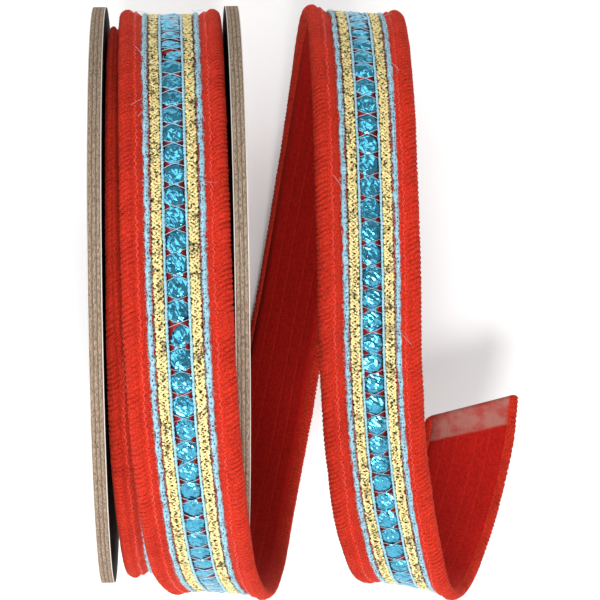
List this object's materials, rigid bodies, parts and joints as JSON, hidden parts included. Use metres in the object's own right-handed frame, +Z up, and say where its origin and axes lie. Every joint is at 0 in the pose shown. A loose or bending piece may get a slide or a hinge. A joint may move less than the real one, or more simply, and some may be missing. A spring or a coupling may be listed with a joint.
{
  "type": "roll of wired ribbon",
  "caption": "Ribbon wound on a flat spool with two round board flanges; the loose end leaves the top of the roll and stands beside it in two open loops.",
  "frame": {"origin": "on the surface that the spool stands on, under the middle of the whole object", "axes": "+X along the spool's axis, from the bare flange towards the loose end; +Y towards the side where the loose end rises; +Z up"},
  "size_m": [0.0986, 0.1348, 0.1289],
  "materials": {
    "board": "matt layered chipboard, faced with black paper",
    "ribbon_cloth": "soft red velvet with overlocked padded edges",
    "chenille": "fuzzy light blue yarn",
    "gold_braid": "shiny metallic braid",
    "sequins": "glossy foil"
  },
  "bodies": {
    "root": {"flange_left": "board", "flange_right": "board", "core_tube": "board", "ribbon_roll": "ribbon_cloth", "ribbon_loose_end": "ribbon_cloth", "chenille_cord_left": "chenille", "gold_braid_left": "gold_braid", "sequin_string": "sequins", "gold_braid_right": "gold_braid", "chenille_cord_right": "chenille"}
  },
  "joints": []
}
